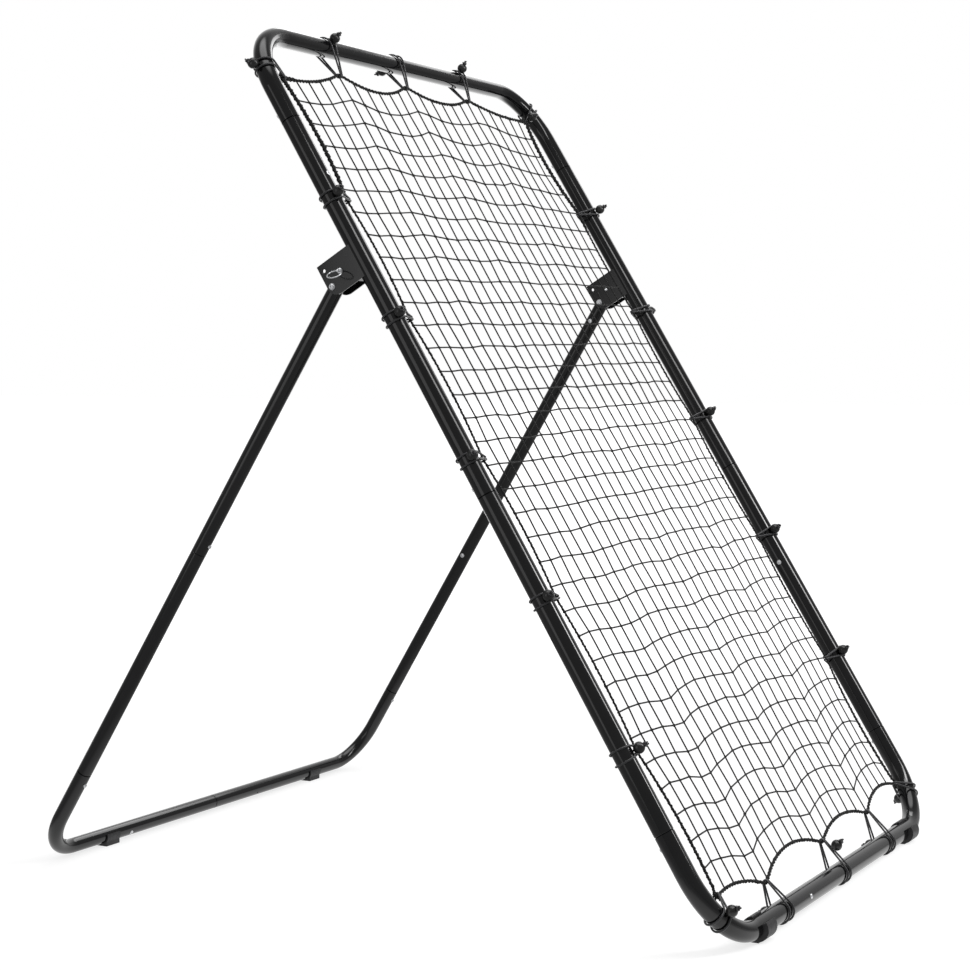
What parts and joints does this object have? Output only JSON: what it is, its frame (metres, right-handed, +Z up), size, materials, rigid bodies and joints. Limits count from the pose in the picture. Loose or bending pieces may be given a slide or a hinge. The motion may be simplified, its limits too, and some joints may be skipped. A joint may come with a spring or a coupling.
{
  "type": "pitch back rebounder",
  "caption": "Folding pitch back rebounder: leaning black tube frame with a square-mesh net held by ball bungees, hinged rear legs and clip-on feet.",
  "frame": {"origin": "on the floor under the middle of the whole object", "axes": "+X along the bars to the right of someone facing the net, +Y from the front bar to the rear bar, +Z up"},
  "size_m": [1.1848, 1.4164, 1.5845],
  "materials": {
    "black_paint": "gloss",
    "foot_plastic": "satin",
    "ball_plastic": "semi-gloss",
    "net_twine": "matte twine",
    "rope": "matte twisted rope",
    "bungee_cord": "braided sheath",
    "zinc": "bright zinc plating",
    "spring_steel": "satin"
  },
  "bodies": {
    "front_frame": {"top_tube": "black_paint", "bottom_tube": "black_paint", "upper_upright_left": "black_paint", "upper_upright_right": "black_paint", "lower_upright_left": "black_paint", "lower_upright_right": "black_paint", "hinge_bracket_left": "black_paint", "hinge_bracket_right": "black_paint", "bracket_screws": "zinc", "pivot_bolts": "zinc", "pivot_washers": "zinc", "pivot_nuts": "zinc", "front_button_springs": "spring_steel", "front_rivets": "zinc", "front_foot_left": "foot_plastic", "front_foot_right": "foot_plastic", "net": "net_twine", "border_rope": "rope", "bungees_left": "bungee_cord", "bungees_right": "bungee_cord", "bungees_top": "bungee_cord", "bungees_bottom": "bungee_cord", "bungees_corner": "bungee_cord", "balls_left": "ball_plastic", "balls_right": "ball_plastic", "balls_top": "ball_plastic", "balls_bottom": "ball_plastic", "balls_corner": "ball_plastic"},
    "rear_frame": {"upper_leg_left": "black_paint", "upper_leg_right": "black_paint", "lower_leg_left": "black_paint", "lower_leg_right": "black_paint", "rear_corner_left": "black_paint", "rear_corner_right": "black_paint", "pivot_bushes": "zinc", "rear_button_springs": "spring_steel", "rear_rivets": "zinc", "rear_foot_left": "foot_plastic", "rear_foot_right": "foot_plastic"},
    "lock_pin_left": {"lock_pin_left": "zinc"},
    "lock_pin_right": {"lock_pin_right": "zinc"},
    "pull_ring_left": {"pull_ring_left": "zinc"},
    "pull_ring_right": {"pull_ring_right": "zinc"},
    "button_top_left": {"button_top_left": "zinc"},
    "button_top_right": {"button_top_right": "zinc"},
    "button_middle_left": {"button_middle_left": "zinc"},
    "button_middle_right": {"button_middle_right": "zinc"},
    "button_bottom_left": {"button_bottom_left": "zinc"},
    "button_bottom_right": {"button_bottom_right": "zinc"},
    "button_leg_left": {"button_leg_left": "zinc"},
    "button_leg_right": {"button_leg_right": "zinc"},
    "button_corner_left": {"button_corner_left": "zinc"},
    "button_corner_right": {"button_corner_right": "zinc"},
    "button_rear_bar": {"button_rear_bar": "zinc"}
  },
  "joints": [
    {"name": "leg_fold", "type": "hinge", "parent": "front_frame", "child": "rear_frame", "pos_m": [0, 0.0412, 1.07908], "axis": [1, 0, 0], "range_deg": [-62.7, 0]},
    {"name": "lock_pin_left_slide", "type": "slide", "parent": "front_frame", "child": "lock_pin_left", "axis": [-1, 0, 0], "range_m": [0, 0.045]},
    {"name": "lock_pin_right_slide", "type": "slide", "parent": "front_frame", "child": "lock_pin_right", "axis": [1, 0, 0], "range_m": [0, 0.045]},
    {"name": "pull_ring_left_swing", "type": "hinge", "parent": "lock_pin_left", "child": "pull_ring_left", "pos_m": [-0.569, 0.02448, 1.10636], "axis": [0, -1, 0], "range_deg": [-115, 55]},
    {"name": "pull_ring_right_swing", "type": "hinge", "parent": "lock_pin_right", "child": "pull_ring_right", "pos_m": [0.569, 0.02448, 1.10636], "axis": [0, 1, 0], "range_deg": [-115, 55]},
    {"name": "button_top_left_press", "type": "slide", "parent": "front_frame", "child": "button_top_left", "axis": [0, -0.8554, 0.518], "range_m": [0, 0.0047], "stiffness_N_per_m": 3000, "springref_m": -0.001},
    {"name": "button_top_right_press", "type": "slide", "parent": "front_frame", "child": "button_top_right", "axis": [0, -0.8554, 0.518], "range_m": [0, 0.0047], "stiffness_N_per_m": 3000, "springref_m": -0.001},
    {"name": "button_middle_left_press", "type": "slide", "parent": "front_frame", "child": "button_middle_left", "axis": [0, -0.8554, 0.518], "range_m": [0, 0.0047], "stiffness_N_per_m": 3000, "springref_m": -0.001},
    {"name": "button_middle_right_press", "type": "slide", "parent": "front_frame", "child": "button_middle_right", "axis": [0, -0.8554, 0.518], "range_m": [0, 0.0047], "stiffness_N_per_m": 3000, "springref_m": -0.001},
    {"name": "button_bottom_left_press", "type": "slide", "parent": "front_frame", "child": "button_bottom_left", "axis": [0, -0.8554, 0.518], "range_m": [0, 0.0047], "stiffness_N_per_m": 3000, "springref_m": -0.001},
    {"name": "button_bottom_right_press", "type": "slide", "parent": "front_frame", "child": "button_bottom_right", "axis": [0, -0.8554, 0.518], "range_m": [0, 0.0047], "stiffness_N_per_m": 3000, "springref_m": -0.001},
    {"name": "button_leg_left_press", "type": "slide", "parent": "rear_frame", "child": "button_leg_left", "axis": [0, 0.8526, 0.5225], "range_m": [0, 0.0047], "stiffness_N_per_m": 3000, "springref_m": -0.001},
    {"name": "button_leg_right_press", "type": "slide", "parent": "rear_frame", "child": "button_leg_right", "axis": [0, 0.8526, 0.5225], "range_m": [0, 0.0047], "stiffness_N_per_m": 3000, "springref_m": -0.001},
    {"name": "button_corner_left_press", "type": "slide", "parent": "rear_frame", "child": "button_corner_left", "axis": [0, 0.8526, 0.5225], "range_m": [0, 0.0047], "stiffness_N_per_m": 3000, "springref_m": -0.001},
    {"name": "button_corner_right_press", "type": "slide", "parent": "rear_frame", "child": "button_corner_right", "axis": [0, 0.8526, 0.5225], "range_m": [0, 0.0047], "stiffness_N_per_m": 3000, "springref_m": -0.001},
    {"name": "button_rear_bar_press", "type": "slide", "parent": "rear_frame", "child": "button_rear_bar", "axis": [0, -0.5225, 0.8526], "range_m": [0, 0.0047], "stiffness_N_per_m": 3000, "springref_m": -0.001}
  ]
}
